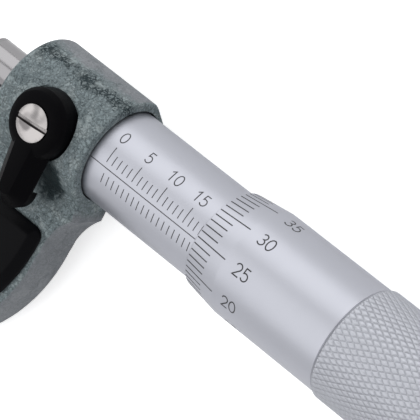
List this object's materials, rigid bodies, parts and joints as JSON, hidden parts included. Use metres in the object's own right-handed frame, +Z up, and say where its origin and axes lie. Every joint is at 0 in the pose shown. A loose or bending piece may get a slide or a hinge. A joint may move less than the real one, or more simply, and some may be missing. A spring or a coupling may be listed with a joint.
{
  "type": "outside micrometer",
  "caption": "Outside micrometer with C-shaped frame, graduated sleeve and thimble, ratchet end and lock lever, lying on its back.",
  "frame": {"origin": "middle of the anvil's measuring face, on the spindle's axis", "axes": "+X along the spindle towards the ratchet, +Z up from the surface that the tool lies on, +Y level and away from the bow"},
  "size_m": [0.1432, 0.0553, 0.0207],
  "materials": {
    "hammered_paint": "grey-green hammered enamel",
    "satin_chrome": "satin chrome",
    "ground_steel": "ground",
    "hard_metal": "lapped",
    "nickel": "bright nickel",
    "black_plastic": "moulded, slightly glossy",
    "black_grip": "moulded, satin",
    "brass": "turned"
  },
  "bodies": {
    "frame_body": {"frame": "hammered_paint", "anvil": "ground_steel", "anvil_tip": "hard_metal", "inner_sleeve": "ground_steel", "adjusting_nut": "ground_steel", "lever_washer": "nickel", "grip_plate_front": "black_grip", "grip_plate_back": "black_grip"},
    "sleeve_body": {"outer_sleeve": "satin_chrome"},
    "tip_body": {"spindle_tip": "hard_metal"},
    "thimble_body": {"spindle": "ground_steel", "thimble": "satin_chrome", "ratchet_stem": "ground_steel", "knob_screw": "nickel"},
    "knob_body": {"ratchet_knob": "satin_chrome", "clutch_disc": "brass", "clutch_spring": "ground_steel"},
    "lever_body": {"lock_lever": "black_plastic", "lever_screw": "nickel", "clamp_stud": "ground_steel"},
    "pad_body": {"clamp_pad": "brass"}
  },
  "joints": [
    {"name": "spindle_feed", "type": "slide", "parent": "frame_body", "child": "tip_body", "axis": [1, 0, 0], "range_m": [-0.01824, 0.00676]},
    {"name": "thimble_turn", "type": "hinge", "parent": "tip_body", "child": "thimble_body", "pos_m": [0.08, 0, 0], "axis": [1, 0, 0], "range_deg": [-13133, 4867.4]},
    {"name": "knob_turn", "type": "hinge", "parent": "thimble_body", "child": "knob_body", "pos_m": [0.118, 0, 0], "axis": [1, 0, 0], "continuous": true},
    {"name": "zero_set", "type": "hinge", "parent": "frame_body", "child": "sleeve_body", "pos_m": [0.06, 0, 0], "axis": [1, 0, 0], "range_deg": [-15, 15]},
    {"name": "lever_turn", "type": "hinge", "parent": "frame_body", "child": "lever_body", "pos_m": [0.03675, -0.00007, 0.00801], "axis": [0, -0.0712, 0.9975], "range_deg": [-30.01, 15.01]},
    {"name": "pad_press", "type": "slide", "parent": "frame_body", "child": "pad_body", "axis": [0, -0.0712, 0.9975], "range_m": [-0.0000625, 0.00003125]}
  ],
  "couplings": [
    {"joint": "thimble_turn", "follows": "spindle_feed", "rad_per_m": 12566},
    {"joint": "lever_turn", "follows": "pad_press", "rad_per_m": 8377.6}
  ]
}
